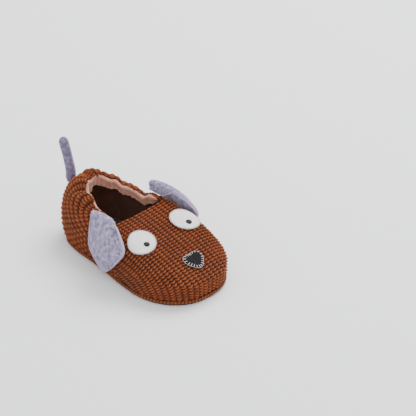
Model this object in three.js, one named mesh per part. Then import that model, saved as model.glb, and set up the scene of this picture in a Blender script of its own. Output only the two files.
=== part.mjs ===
// Soft knitted baby bootie with a dog face: two ears, a stuffed tail, felt eyes and a felt nose.
// Millimetres, +Z up. The origin is the middle of the sole on the ground, the toe points to -Y,
// and +X is the wearer's left.
import * as THREE from 'three';
import { mergeVertices } from 'three/addons/utils/BufferGeometryUtils.js';

// ---------------------------------------------------------------- driving dimensions
const SOLE_LENGTH = 108.3;
const SOLE_WIDTH = 57.6;
const THROAT_HEIGHT = 31.4;
const HEEL_HEIGHT = 39.8;
const TOE_BULGE = 0.015;          // how far the upper swells past the sole, as a share of the plan
const SIDE_BULGE = 0.022;
const HEEL_BULGE = 0.043;
const TOE_GIRTH_HEIGHT = 12.5;    // height of the widest ring
const HEEL_GIRTH_HEIGHT = 17.5;

const FIT_GAP = 0.3;
const OUTSOLE_THICKNESS = 1.2;
const RIM_HEIGHT = 1.9;
const RIM_WIDTH = 2.6;
const FOAM_THICKNESS = 3.0;
const INSOLE_THICKNESS = 1.0;
const KNIT_THICKNESS = 2.4;
const LINING_THICKNESS = 0.8;

const ELASTIC_RADIUS = 0.9;
const CASING_WALL = 0.9;
const CASING_DROP = 1.9;          // casing centre below the outer face of the knit
const CASING_SETBACK = 1.3;       // from the knit's rim to the casing

const EAR_STATION = 5.8;          // the middle of the ear's sewn edge along the rim
const EAR_ROOT = [1.0, 0.4, 1.4]; // from the rim to the middle of the ear's sewn edge
const EAR_PATH = [                // middle line of the ear, from its sewn edge to its tip
  [0, 0, 0], [2.6, -1.6, 2.5], [6.0, -6.6, -0.8],
  [8.6, -10.2, -7.8], [10.2, -9.2, -16.4], [9.8, -8.6, -27.0],
];
const EAR_HALF_WIDTHS = [7.2, 9.0, 12.2, 15.0, 13.6, 5.0];
const EAR_PANEL = 0.8;
const EAR_WADDING = 1.0;
const EAR_GAP = 0.5;              // between a panel and the wadding

const EYE_RADIUS = 8.8;
const EYE_FROM_SIDE = 11.8;       // eye centre from the widest part of the sole
const EYE_FROM_THROAT = 18.7;
const FELT_THICKNESS = 1.0;
const FELT_LIFT = 0.6;            // the knit's ribs under a felt piece
const EDGE_THREAD = 0.35;         // radius of the stitching round a felt piece
const PUPIL_RADIUS = 1.6;
const PUPIL_OFFSET = 3.3;         // towards the toe inside the eye
const PUPIL_THICKNESS = 0.5;
const PUPIL_INWARD = 0.2;         // towards the middle of the face inside the eye
const NOSE_WIDTH = 12.8;
const NOSE_LENGTH = 10.8;
const NOSE_FROM_TOE = 12.75;

const TAIL_RADIUS = 2.9;
const TAIL_WALL = 0.8;
const TAIL_HEIGHT = 0.467;        // where the tail sits on the heel, from sole seam to rim
const TAIL_SEAT = 3.05;           // middle of the tail's root from the heel's surface
const TAIL_PATH = [[0, 0, 0], [0, 0.4, 7.6], [0, 3.0, 17.0], [0, 6.9, 26.8]];

// ---------------------------------------------------------------- materials
const material = (name, color, roughness) =>
  Object.assign(new THREE.MeshStandardMaterial({ color, roughness, metalness: 0 }), { name });
const brownKnit = material('brown_knit', 0x93502c, 0.95);
const pinkJersey = material('pink_jersey', 0xb98a76, 0.9);
const lilacVelour = material('lilac_velour', 0xa59eaf, 0.9);
const whiteFelt = material('white_felt', 0xe6dedb, 0.95);
const blackFelt = material('black_felt', 0x26262a, 0.95);
const whiteThread = material('white_thread', 0xf2efec, 0.7);
const blackThread = material('black_thread', 0x17171a, 0.6);
const darkLining = material('dark_lining_fabric', 0x4a2f24, 0.95);
const darkSuede = material('dark_suede', 0x2e211b, 0.9);
const whiteFoam = material('white_foam', 0xe8e4da, 0.9);
const fibreFill = material('fibre_fill', 0xf0efee, 1.0);
const whiteElastic = material('white_elastic', 0xe9e6e0, 0.7);

// ---------------------------------------------------------------- plan of the sole and of the rim
// One station for each eleventh of the way from the toe to the heel on the +X side:
// sole x and y, rim x and y (all as shares of half the sole), rise of the rim from throat to heel.
const STATIONS = [
  [0.000, -1.000, 0.000, 0.040, 0.00],
  [0.382, -0.972, 0.194, 0.040, 0.00],
  [0.694, -0.861, 0.382, 0.040, 0.01],
  [0.917, -0.682, 0.542, 0.038, 0.04],
  [1.000, -0.452, 0.650, 0.040, 0.08],
  [0.951, -0.175, 0.712, 0.088, 0.12],
  [0.854, 0.103, 0.680, 0.196, 0.12],
  [0.771, 0.380, 0.597, 0.324, 0.12],
  [0.722, 0.620, 0.514, 0.481, 0.26],
  [0.604, 0.823, 0.424, 0.638, 0.67],
  [0.340, 0.959, 0.236, 0.760, 0.98],
  [0.000, 1.000, 0.000, 0.797, 1.00],
];
const HEEL = STATIONS.length - 1;
const ROUND = 2 * HEEL;
const SEAM = 5.2;                 // station of the seam between vamp and heel panel
const SEAM_GAP = 0.4;
const SEAM_MITRE = 0.14;          // extra setback of a panel's edge for each millimetre of depth
const GIRTH = 0.3;                // share of a panel's height that lies below the widest ring

function ringCurve(toPoint) {
  const half = STATIONS.map(toPoint);
  const mirrored = half.slice(1, -1).reverse().map((p) => new THREE.Vector3(-p.x, p.y, p.z));
  return new THREE.CatmullRomCurve3([...half, ...mirrored], true, 'catmullrom', 0.5);
}
const soleCurve = ringCurve(([x, y]) => new THREE.Vector3(x * SOLE_WIDTH / 2, y * SOLE_LENGTH / 2, 0));
const rimCurve = ringCurve(([, , x, y, rise]) => new THREE.Vector3(
  x * SOLE_WIDTH / 2,
  y * SOLE_LENGTH / 2,
  THREE.MathUtils.lerp(THROAT_HEIGHT, HEEL_HEIGHT, rise),
));

// ---------------------------------------------------------------- surface of the upper
const UPPER_BOTTOM = OUTSOLE_THICKNESS + RIM_HEIGHT + FIT_GAP;
const clamp01 = (value) => THREE.MathUtils.clamp(value, 0, 1);

// A point of the upper's outer surface: station 0 is the toe and HEEL the heel, height 0 the sole
// seam and 1 the rim. The wall swells to its widest ring and then rolls in to the rim. Its arch is
// nearly straight at the toe, full and round at the heel, and rolls in least at the throat corners.
function upperPoint(station, height) {
  const t = THREE.MathUtils.euclideanModulo(station / ROUND, 1);
  const sole = soleCurve.getPoint(t);
  const rim = rimCurve.getPoint(t);
  const fromToe = Math.abs(THREE.MathUtils.euclideanModulo(station + HEEL, ROUND) - HEEL);
  const bulge = TOE_BULGE + SIDE_BULGE * clamp01(fromToe / 4) + HEEL_BULGE * clamp01((fromToe - 5) / 5);
  const girthHeight = THREE.MathUtils.lerp(TOE_GIRTH_HEIGHT, HEEL_GIRTH_HEIGHT, clamp01((fromToe - 4) / 6));
  if (height < GIRTH) {
    const turn = Math.max(height, 0) / GIRTH * Math.PI / 2;
    const scale = 1 + bulge * Math.sin(turn);
    const z = girthHeight - (girthHeight - UPPER_BOTTOM) * Math.cos(turn);
    return new THREE.Vector3(sole.x * scale, sole.y * scale, z);
  }
  const share = (Math.min(height, 1) - GIRTH) / (1 - GIRTH);
  const inward = share ** 1.6;
  const side = THREE.MathUtils.smoothstep(fromToe, -1, SEAM);
  const back = THREE.MathUtils.smoothstep(fromToe, SEAM, HEEL);
  const fullness = 1.3 + 0.5 * side + 0.5 * back;
  const roundness = 1.05 + 0.75 * side + 0.35 * back;
  const rollIn = 1 - 0.3 * side * (1 - back);
  const arch = (way) => (1 - (1 - way) ** fullness) ** (1 / roundness);
  const climb = arch(inward * rollIn) / arch(rollIn);
  return new THREE.Vector3(
    THREE.MathUtils.lerp(sole.x * (1 + bulge), rim.x, inward),
    THREE.MathUtils.lerp(sole.y * (1 + bulge), rim.y, inward),
    THREE.MathUtils.lerp(girthHeight, rim.z, climb),
  );
}

function upperNormal(station, height) {
  const step = 0.004;
  const h = THREE.MathUtils.clamp(height, step, 1 - step);
  const along = upperPoint(station + step, h).sub(upperPoint(station - step, h));
  const up = upperPoint(station, h + step).sub(upperPoint(station, h - step));
  return along.cross(up).normalize();
}

function offsetUpper(station, height, offset) {
  return upperPoint(station, height).addScaledVector(upperNormal(station, height), offset);
}

// Station and height of the vamp where it passes over a plan position, found by Newton steps.
function vampPlace(x, y) {
  let station = 8 * x / SOLE_WIDTH;
  let height = 0.75;
  const damping = 0.7;
  for (let round = 0; round < 25; round += 1) {
    const here = upperPoint(station, height);
    const du = upperPoint(station + 1e-3, height).sub(here).divideScalar(1e-3);
    const dv = upperPoint(station, height + 1e-4).sub(here).divideScalar(1e-4);
    const det = du.x * dv.y - dv.x * du.y;
    const ex = x - here.x;
    const ey = y - here.y;
    station += damping * (ex * dv.y - dv.x * ey) / det;
    height = THREE.MathUtils.clamp(height + damping * (du.x * ey - ex * du.y) / det, GIRTH + 0.01, 0.995);
  }
  return [station, height];
}

// ---------------------------------------------------------------- helpers for closed solids
function reshape(geometry, place) {
  geometry.deleteAttribute('normal');
  geometry.deleteAttribute('uv');
  const merged = mergeVertices(geometry, 1e-5);
  const position = merged.getAttribute('position');
  const point = new THREE.Vector3();
  for (let i = 0; i < position.count; i += 1) {
    const moved = place(point.fromBufferAttribute(position, i));
    position.setXYZ(i, moved.x, moved.y, moved.z);
  }
  merged.computeVertexNormals();
  return merged;
}

// A panel of the upper from sole seam to rim, between two seams, from one depth to another below
// the outer surface. Each side stands back from its seam by half the seam's gap.
function upperPanel([from, to], [outer, inner], columns, rows) {
  const setback = (seam, height, depth) => {
    const stationLength = upperPoint(seam + 0.05, height).distanceTo(upperPoint(seam - 0.05, height)) / 0.1;
    return (SEAM_GAP / 2 + SEAM_MITRE * depth) / stationLength;
  };
  return reshape(new THREE.BoxGeometry(1, 1, 1, columns, rows, 1), (p) => {
    const height = p.y + 0.5;
    const depth = THREE.MathUtils.lerp(inner, outer, p.z + 0.5);
    const start = from + setback(from, height, depth);
    const end = to - setback(to, height, depth);
    return offsetUpper(THREE.MathUtils.lerp(start, end, p.x + 0.5), height, -depth);
  });
}

function plateShape(inset, points = 48) {
  const outline = [];
  for (let i = 0; i < points; i += 1) {
    const t = i / points;
    const p = soleCurve.getPoint(t);
    const tangent = soleCurve.getTangent(t);
    outline.push(new THREE.Vector2(p.x - tangent.y * inset, p.y + tangent.x * inset));
  }
  return outline;
}

function plate(inset, bottom, thickness, hole) {
  const shape = new THREE.Shape(plateShape(inset));
  if (hole !== undefined) shape.holes.push(new THREE.Path(plateShape(hole)));
  const geometry = new THREE.ExtrudeGeometry(shape, { depth: thickness, bevelEnabled: false });
  return geometry.translate(0, 0, bottom);
}

const group = new THREE.Group();
function add(name, geometry, look) {
  const mesh = new THREE.Mesh(geometry, look);
  mesh.name = name;
  group.add(mesh);
}

// ---------------------------------------------------------------- sole
const FOAM_BOTTOM = OUTSOLE_THICKNESS;
const INSOLE_BOTTOM = FOAM_BOTTOM + FOAM_THICKNESS;
const INSOLE_INSET = KNIT_THICKNESS + LINING_THICKNESS + 3 * FIT_GAP;
add('outsole', plate(0, 0, OUTSOLE_THICKNESS), darkSuede);
add('sole_rim', plate(0, OUTSOLE_THICKNESS, RIM_HEIGHT, RIM_WIDTH), brownKnit);
add('sole_foam', plate(INSOLE_INSET, FOAM_BOTTOM, FOAM_THICKNESS), whiteFoam);
add('insole_cover', plate(INSOLE_INSET, INSOLE_BOTTOM, INSOLE_THICKNESS), darkLining);

// ---------------------------------------------------------------- upper and lining
const LINING_OUTER = KNIT_THICKNESS + FIT_GAP;
const LINING_INNER = LINING_OUTER + LINING_THICKNESS;
const ROWS = 12;                  // the same on every panel, so that their edges match at the seams
const VAMP = [-SEAM, SEAM];
const BACK = [SEAM, ROUND - SEAM];
add('vamp_knit', upperPanel(VAMP, [0, KNIT_THICKNESS], 24, ROWS), brownKnit);
add('heel_knit', upperPanel(BACK, [0, KNIT_THICKNESS], 26, ROWS), brownKnit);
add('vamp_lining', upperPanel(VAMP, [LINING_OUTER, LINING_INNER], 24, ROWS), darkLining);
add('heel_lining', upperPanel(BACK, [LINING_OUTER, LINING_INNER], 26, ROWS), darkLining);

// ---------------------------------------------------------------- gathered rim: casing and elastic
const CASING_BORE = ELASTIC_RADIUS + FIT_GAP;
const CASING_RADIUS = CASING_BORE + CASING_WALL;
const CASING_END = SEAM + 0.6;   // the gathering starts just behind the throat corners

function casingPath() {
  const points = [];
  const steps = 22;
  for (let i = 0; i <= steps; i += 1) {
    const station = THREE.MathUtils.lerp(CASING_END, ROUND - CASING_END, i / steps);
    const rollDirection = upperPoint(station, 1).sub(upperPoint(station, 0.98)).normalize();
    const edge = offsetUpper(station, 1, -CASING_DROP);
    points.push(edge.addScaledVector(rollDirection, CASING_RADIUS + CASING_SETBACK));
  }
  return new THREE.CatmullRomCurve3(points);
}

function circle(PathClass, radius, sides) {
  const points = [];
  for (let i = 0; i < sides; i += 1) {
    const angle = 2 * Math.PI * i / sides;
    points.push(new THREE.Vector2(radius * Math.cos(angle), radius * Math.sin(angle)));
  }
  return new PathClass(points);
}

const alongRim = { steps: 30, bevelEnabled: false, extrudePath: casingPath() };
const casingSection = circle(THREE.Shape, CASING_RADIUS, 8);
casingSection.holes.push(circle(THREE.Path, CASING_BORE, 8));
add('topline_casing', new THREE.ExtrudeGeometry(casingSection, alongRim), pinkJersey);
const elasticSection = circle(THREE.Shape, ELASTIC_RADIUS, 6);
add('topline_elastic', new THREE.ExtrudeGeometry(elasticSection, alongRim), whiteElastic);

// ---------------------------------------------------------------- felt face
// A flat piece is wrapped onto the vamp without stretching it: x and y run along the surface from
// its middle, and z is the height above the knit.
function onVamp(x, y) {
  const [station, height] = vampPlace(x, y);
  const middle = upperPoint(station, height);
  const normal = upperNormal(station, height);
  const across = new THREE.Vector3(1, 0, 0).addScaledVector(normal, -normal.x).normalize();
  const forward = new THREE.Vector3().crossVectors(normal, across);
  const steps = 6;
  return (p) => {
    const heading = across.clone().multiplyScalar(p.x).addScaledVector(forward, p.y).setZ(0).normalize();
    const plan = middle.clone();
    for (let i = 0; i < steps; i += 1) {
      const here = upperNormal(...vampPlace(plan.x, plan.y));
      const slope = (here.x * heading.x + here.y * heading.y) / here.z;
      plan.addScaledVector(heading, Math.hypot(p.x, p.y) / steps / Math.hypot(1, slope));
    }
    return offsetUpper(...vampPlace(plan.x, plan.y), p.z);
  };
}

function feltPatch(radiusAt, bottom, thickness, sides = 22) {
  const top = bottom + thickness;
  const profile = [[0, bottom], [0.5, bottom], [1, bottom], [1, top], [0.5, top], [0, top]];
  const lathe = new THREE.LatheGeometry(profile.map(([r, h]) => new THREE.Vector2(r, h)), sides);
  return reshape(lathe, (p) => {
    const radius = radiusAt(Math.atan2(-p.z, p.x));
    return new THREE.Vector3(p.x * radius, -p.z * radius, p.y);
  });
}

function edgeRing(radiusAt, height, sides = 28) {
  return reshape(new THREE.TorusGeometry(1, 0.5, 5, sides), (p) => {
    const angle = Math.atan2(p.y, p.x);
    const fromMiddle = Math.hypot(p.x, p.y) - 1;
    const radius = radiusAt(angle) - EDGE_THREAD + fromMiddle * 2 * EDGE_THREAD;
    const level = height + p.z * 2 * EDGE_THREAD;
    return new THREE.Vector3(Math.cos(angle) * radius, Math.sin(angle) * radius, level);
  });
}

// Rounded triangle with its flat side towards the throat and its tip towards the toe.
function noseRadius(angle) {
  const triangle = 1 + 0.11 * Math.cos(3 * (angle + Math.PI / 2));
  return Math.hypot(Math.cos(angle) * NOSE_WIDTH / 2, Math.sin(angle) * NOSE_LENGTH / 2) * triangle;
}

const FELT_TOP = FELT_LIFT + FELT_THICKNESS;
const RING_HEIGHT = FELT_TOP + FIT_GAP + EDGE_THREAD;

const throatY = rimCurve.getPoint(0).y;
const eyeX = SOLE_WIDTH / 2 - EYE_FROM_SIDE;
const eyeY = throatY - EYE_FROM_THROAT;
for (const [side, sign] of [['left', 1], ['right', -1]]) {
  const place = onVamp(sign * eyeX, eyeY);
  const pupilPlace = onVamp(sign * (eyeX - PUPIL_INWARD), eyeY - PUPIL_OFFSET);
  add(`${side}_eye`, reshape(feltPatch(() => EYE_RADIUS, FELT_LIFT, FELT_THICKNESS), place), whiteFelt);
  add(`${side}_eye_stitching`, reshape(edgeRing(() => EYE_RADIUS, RING_HEIGHT), place), whiteThread);
  const pupil = feltPatch(() => PUPIL_RADIUS, FELT_TOP + FIT_GAP, PUPIL_THICKNESS, 12);
  add(`${side}_pupil`, reshape(pupil, pupilPlace), blackThread);
}
const nosePlace = onVamp(0, NOSE_FROM_TOE - SOLE_LENGTH / 2);
add('nose', reshape(feltPatch(noseRadius, FELT_LIFT, FELT_THICKNESS), nosePlace), blackFelt);
add('nose_stitching', reshape(edgeRing(noseRadius, RING_HEIGHT), nosePlace), whiteThread);

// ---------------------------------------------------------------- ears
const earRoot = rimCurve.getPoint(EAR_STATION / ROUND).add(new THREE.Vector3(...EAR_ROOT));
const earPath = new THREE.CatmullRomCurve3(EAR_PATH.map((p) => new THREE.Vector3(...p).add(earRoot)));
const earWidths = new THREE.SplineCurve(
  EAR_HALF_WIDTHS.map((width, i) => new THREE.Vector2(i / (EAR_HALF_WIDTHS.length - 1), width)),
);

function earPoint(along, across, depth) {
  const middle = earPath.getPoint(along);
  const tangent = earPath.getTangent(along);
  const outward = new THREE.Vector3(0, 1, 0).cross(tangent).negate().normalize();
  return middle.addScaledVector(outward, depth).setY(middle.y + across * earWidths.getPoint(along).y);
}

function earLayer([back, front], inset, columns, rows) {
  return reshape(new THREE.BoxGeometry(1, 1, 1, columns, rows, 1), (p) => earPoint(
    THREE.MathUtils.lerp(inset, 1 - inset, p.y + 0.5),
    (1 - 2 * inset) * -2 * p.x,
    THREE.MathUtils.lerp(back, front, p.z + 0.5),
  ));
}

function mirrorX(geometry) {
  const copy = geometry.clone();
  copy.scale(-1, 1, 1);
  const index = copy.getIndex();
  for (let i = 0; i < index.count; i += 3) {
    const first = index.getX(i);
    index.setX(i, index.getX(i + 1));
    index.setX(i + 1, first);
  }
  return copy;
}

const PANEL_START = EAR_WADDING / 2 + EAR_GAP;
const PANEL_END = PANEL_START + EAR_PANEL;
const earLayers = {
  ear_front: [earLayer([PANEL_START, PANEL_END], 0, 6, 10), lilacVelour],
  ear_back: [earLayer([-PANEL_END, -PANEL_START], 0, 6, 10), lilacVelour],
  ear_wadding: [earLayer([-EAR_WADDING / 2, EAR_WADDING / 2], 0.06, 6, 10), fibreFill],
};
for (const [name, [geometry, look]] of Object.entries(earLayers)) {
  add(`left_${name}`, geometry, look);
  add(`right_${name}`, mirrorX(geometry), look);
}

// ---------------------------------------------------------------- tail
const tailRoot = upperPoint(HEEL, TAIL_HEIGHT).add(new THREE.Vector3(0, TAIL_SEAT, 0));
const tailPath = new THREE.CatmullRomCurve3(TAIL_PATH.map((p) => new THREE.Vector3(...p).add(tailRoot)));

function tailSolid(profile, sides) {
  const lathe = new THREE.LatheGeometry(profile.map(([r, along]) => new THREE.Vector2(r, along)), sides);
  return reshape(lathe, (p) => {
    const t = clamp01(p.y);
    const tangent = tailPath.getTangent(t);
    const behind = new THREE.Vector3(1, 0, 0).cross(tangent).normalize();
    return tailPath.getPoint(t).addScaledVector(behind, p.z).add(new THREE.Vector3(p.x, 0, 0));
  });
}

const TIP = 0.9;                  // share of the tail's length where its end starts to round
const along = [0, 0.2, 0.4, 0.6, 0.8, TIP];
const tailBore = TAIL_RADIUS - TAIL_WALL;
const fillRadius = tailBore - FIT_GAP;
const coverProfile = [
  [0, 0.95], [tailBore * 0.7, 0.93], ...along.map((t) => [tailBore, t * 0.95]).reverse(),
  ...along.map((t) => [TAIL_RADIUS, t]), [TAIL_RADIUS * 0.7, 0.975], [0, 1],
];
const fillProfile = [[0, 0.02], ...along.map((t) => [fillRadius, 0.02 + t * 0.9]), [0, 0.9]];
add('tail_cover', tailSolid(coverProfile, 12), lilacVelour);
add('tail_stuffing', tailSolid(fillProfile, 8), fibreFill);

export default group;
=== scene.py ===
"""Looks of a knitted baby bootie with a dog face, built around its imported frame.

Lengths are in millimetres while a shape is worked out and in metres in the finished meshes.
+Z is up, the toe points to -Y, and the origin is the middle of the sole on the ground.
"""

import math

import bmesh
import bpy
import numpy as np
from mathutils import Matrix, Vector


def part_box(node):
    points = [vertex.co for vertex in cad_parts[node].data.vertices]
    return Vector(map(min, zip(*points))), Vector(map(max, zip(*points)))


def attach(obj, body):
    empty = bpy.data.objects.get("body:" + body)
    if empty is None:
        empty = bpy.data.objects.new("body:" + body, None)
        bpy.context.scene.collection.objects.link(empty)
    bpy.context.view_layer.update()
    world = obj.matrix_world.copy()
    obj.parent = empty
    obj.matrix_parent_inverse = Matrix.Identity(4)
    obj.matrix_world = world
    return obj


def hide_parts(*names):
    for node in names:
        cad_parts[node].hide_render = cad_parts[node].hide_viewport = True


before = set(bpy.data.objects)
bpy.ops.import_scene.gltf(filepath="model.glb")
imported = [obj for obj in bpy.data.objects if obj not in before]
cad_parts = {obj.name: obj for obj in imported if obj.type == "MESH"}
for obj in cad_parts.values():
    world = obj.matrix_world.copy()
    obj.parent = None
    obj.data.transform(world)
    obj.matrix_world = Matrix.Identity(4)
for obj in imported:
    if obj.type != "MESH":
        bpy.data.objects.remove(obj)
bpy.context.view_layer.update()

bl_info = {
    "name": "Knitted baby bootie",
    "version": (1, 0, 0),
    "blender": (4, 5, 0),
    "location": "View3D > Sidebar > Bootie",
    "description": "Builds the fabrics, felt face, ears, tail and sole of a knitted baby bootie",
    "category": "Mesh",
}

MM = 0.001
TURN = 2 * math.pi
UP = (0, 0, 1)


def cad_box(node):
    """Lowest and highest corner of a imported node, in millimetres."""
    low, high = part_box(node)
    return np.array(low) / MM, np.array(high) / MM


# ------------------------------------------------------------------ sizes taken from the frame
SOLE_LOW, SOLE_HIGH = cad_box("outsole")
RIM_LOW, RIM_HIGH = cad_box("sole_rim")
FOAM_LOW, FOAM_HIGH = cad_box("sole_foam")
INSOLE_LOW, INSOLE_HIGH = cad_box("insole_cover")
SOLE_LENGTH = SOLE_HIGH[1] - SOLE_LOW[1]
SOLE_WIDTH = SOLE_HIGH[0] - SOLE_LOW[0]
INSOLE_INSET = SOLE_HIGH[0] - INSOLE_HIGH[0]
UPPER_BOTTOM = RIM_HIGH[2] + 0.3

# ------------------------------------------------------------------ surface of the upper
THROAT_HEIGHT = 31.4
HEEL_HEIGHT = 39.8
TOE_GIRTH, HEEL_GIRTH = 12.5, 17.5          # height of the widest ring
TOE_BULGE, SIDE_BULGE, HEEL_BULGE = 0.015, 0.022, 0.043
KNIT_THICKNESS = 2.4
LINING_OUTER, LINING_INNER = 2.7, 3.5       # depths below the outside of the knit
SEAM = 5.2                                  # station where the vamp meets the heel panel
SEAM_GAP = 0.3
SEAM_MARGIN = 0.02                          # stations between the lining's end and its seam
HEEL = 11                                   # station of the heel
ROUND = 2 * HEEL
VAMP_SEAMS, HEEL_SEAMS = (-SEAM, SEAM), (SEAM, ROUND - SEAM)
GIRTH = 0.3                                 # share of the wall below the widest ring

# sole x and y, rim x and y (shares of half the sole), rise of the rim from throat to heel
STATIONS = np.array([
    [0.000, -1.000, 0.000, 0.040, 0.00],
    [0.382, -0.972, 0.194, 0.040, 0.00],
    [0.694, -0.861, 0.382, 0.040, 0.01],
    [0.917, -0.682, 0.542, 0.038, 0.04],
    [1.000, -0.452, 0.650, 0.040, 0.08],
    [0.951, -0.175, 0.712, 0.088, 0.12],
    [0.854, 0.103, 0.680, 0.196, 0.12],
    [0.771, 0.380, 0.597, 0.324, 0.12],
    [0.722, 0.620, 0.514, 0.481, 0.26],
    [0.604, 0.823, 0.424, 0.638, 0.67],
    [0.340, 0.959, 0.236, 0.760, 0.98],
    [0.000, 1.000, 0.000, 0.797, 1.00],
])


def smoothstep(x, low, high):
    """0 below low, 1 above high, and smooth between."""
    t = np.clip((x - low) / (high - low), 0, 1)
    return t * t * (3 - 2 * t)


def spline(points, place, closed=False):
    """Points of a uniform Catmull-Rom curve, place counted in control points."""
    points = np.asarray(points, float)
    count = len(points)
    whole = np.floor(place).astype(int)
    if closed:
        pick = [points[(whole + k) % count] for k in (-1, 0, 1, 2)]
    else:
        whole = np.clip(whole, 0, count - 2)
        padded = np.vstack([2 * points[0] - points[1], points, 2 * points[-1] - points[-2]])
        pick = [padded[whole + k] for k in (0, 1, 2, 3)]
    w = (place - whole)[..., None]
    start, end = 0.5 * (pick[2] - pick[0]), 0.5 * (pick[3] - pick[1])
    a = 2 * pick[1] - 2 * pick[2] + start + end
    b = -3 * pick[1] + 3 * pick[2] - 2 * start - end
    return ((a * w + b) * w + start) * w + pick[1]


def full_ring(half):
    """A half outline from toe to heel, and its mirror image back to the toe."""
    mirrored = half[-2:0:-1] * np.array([-1, 1, 1])
    return np.vstack([half, mirrored])


HALF_SOLE = np.array([SOLE_WIDTH / 2, SOLE_LENGTH / 2])
SOLE_RING = full_ring(np.column_stack([STATIONS[:, :2] * HALF_SOLE, np.zeros(len(STATIONS))]))
RIM_RING = full_ring(np.column_stack([
    STATIONS[:, 2:4] * HALF_SOLE, THROAT_HEIGHT + (HEEL_HEIGHT - THROAT_HEIGHT) * STATIONS[:, 4]]))


def from_toe(station):
    """Stations between a place and the toe, the same on both sides."""
    return np.abs((station + HEEL) % ROUND - HEEL)


def upper_point(station, height):
    """A point outside the knit.

    Station 0 is the toe and 11 the heel. Height 0 is the seam at the sole and 1 the rim.
    """
    station, height = np.broadcast_arrays(np.asarray(station, float), np.asarray(height, float))
    sole, rim = spline(SOLE_RING, station % ROUND, True), spline(RIM_RING, station % ROUND, True)
    f = from_toe(station)
    bulge = TOE_BULGE + SIDE_BULGE * np.clip(f / 4, 0, 1) + HEEL_BULGE * np.clip((f - 5) / 5, 0, 1)
    girth = TOE_GIRTH + (HEEL_GIRTH - TOE_GIRTH) * np.clip((f - 4) / 6, 0, 1)
    turn = np.clip(height, 0, GIRTH) / GIRTH * math.pi / 2
    low = sole * (1 + bulge * np.sin(turn))[..., None]
    low[..., 2] = girth - (girth - UPPER_BOTTOM) * np.cos(turn)
    inward = ((np.clip(height, GIRTH, 1) - GIRTH) / (1 - GIRTH)) ** 1.6
    side, back = smoothstep(f, -1, SEAM), smoothstep(f, SEAM, HEEL)
    fullness, roundness = 1.3 + 0.5 * side + 0.5 * back, 1.05 + 0.75 * side + 0.35 * back
    roll_in = 1 - 0.3 * side * (1 - back)

    def arch(way):
        return (1 - (1 - way) ** fullness) ** (1 / roundness)

    high = sole * (1 + bulge)[..., None] * (1 - inward)[..., None] + rim * inward[..., None]
    high[..., 2] = girth + (rim[..., 2] - girth) * arch(inward * roll_in) / arch(roll_in)
    return np.where((height < GIRTH)[..., None], low, high)


def unit(vectors):
    """Vectors of length 1."""
    return vectors / np.linalg.norm(vectors, axis=-1, keepdims=True)


def upper_normal(station, height):
    """The way out of the knit."""
    step = 0.004
    h = np.clip(height, step, 1 - step)
    along = upper_point(station + step, h) - upper_point(station - step, h)
    up = upper_point(station, h + step) - upper_point(station, h - step)
    return unit(np.cross(along, up))


def offset_upper(station, height, offset):
    """A point a distance outside the knit, or inside it where the distance is negative."""
    return upper_point(station, height) + upper_normal(station, height) * np.asarray(offset)[..., None]


def roll_direction(station):
    """The way the knit's wall runs where it reaches the rim."""
    return unit(upper_point(station, 1.0) - upper_point(station, 0.98))


def vamp_place(x, y, start=None, rounds=25):
    """Station and height of the vamp under or over a plan position."""
    station, height = start or (8 * x / SOLE_WIDTH, np.full(np.shape(x), 0.75))
    for _ in range(rounds):
        here = upper_point(station, height)
        du = (upper_point(station + 1e-3, height) - here) / 1e-3
        dv = (upper_point(station, height + 1e-4) - here) / 1e-4
        det = du[..., 0] * dv[..., 1] - dv[..., 0] * du[..., 1]
        ex, ey = x - here[..., 0], y - here[..., 1]
        station = station + 0.7 * (ex * dv[..., 1] - dv[..., 0] * ey) / det
        height = np.clip(height + 0.7 * (du[..., 0] * ey - ex * du[..., 1]) / det, GIRTH + 0.01, 0.995)
    return station, height


def on_vamp(x, y, steps=6):
    """Wraps a flat patch onto the vamp without stretching it: its third number is the height above."""
    station, height = vamp_place(np.array(float(x)), np.array(float(y)))
    middle, normal = upper_point(station, height), upper_normal(station, height)
    across = unit(np.array([1.0, 0, 0]) - normal * normal[0])
    forward = np.cross(normal, across)

    def place(points):
        """Walks from the middle to each point in a few strides that lie on the slope."""
        heading = points[:, :1] * across[:2] + points[:, 1:2] * forward[:2]
        heading = heading / np.maximum(np.linalg.norm(heading, axis=1, keepdims=True), 1e-9)
        stride = np.hypot(points[:, 0], points[:, 1]) / steps
        plan = np.repeat(middle[None, :2], len(points), 0)
        spot = (np.full(len(points), station), np.full(len(points), height))
        for _ in range(steps):
            here = upper_normal(*spot)
            slope = np.sum(here[:, :2] * heading, axis=1) / here[:, 2]
            plan = plan + heading * (stride / np.hypot(1, slope))[:, None]
            spot = vamp_place(plan[:, 0], plan[:, 1], spot, 7)
        return offset_upper(*spot, points[:, 2])

    return place


# ------------------------------------------------------------------ mesh making
def make_piece(name, material, verts, faces, uv=None, values=None):
    """A smooth closed mesh at its place, its faces pointing outwards. verts are millimetres."""
    verts = np.asarray(verts, float)
    mesh = bpy.data.meshes.new(name)
    mesh.from_pydata((verts * MM).tolist(), [], faces)
    mesh.validate()
    model = bmesh.new()
    model.from_mesh(mesh)
    if model.calc_volume(signed=True) < 0:
        bmesh.ops.reverse_faces(model, faces=model.faces)
    model.to_mesh(mesh)
    model.free()
    corner = np.zeros(len(mesh.loops), np.int32)
    mesh.loops.foreach_get("vertex_index", corner)
    if uv is not None:
        layer = mesh.uv_layers.new(name="weave")
        layer.data.foreach_set("uv", np.asarray(uv, np.float32)[corner].ravel())
    for key, value in (values or {}).items():
        attribute = mesh.attributes.new(key, "FLOAT", "POINT")
        attribute.data.foreach_set("value", np.asarray(value, np.float32))
    mesh.polygons.foreach_set("use_smooth", np.ones(len(mesh.polygons), bool))
    mesh.materials.append(material)
    piece = bpy.data.objects.new(name, mesh)
    bpy.context.scene.collection.objects.link(piece)
    return piece


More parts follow.
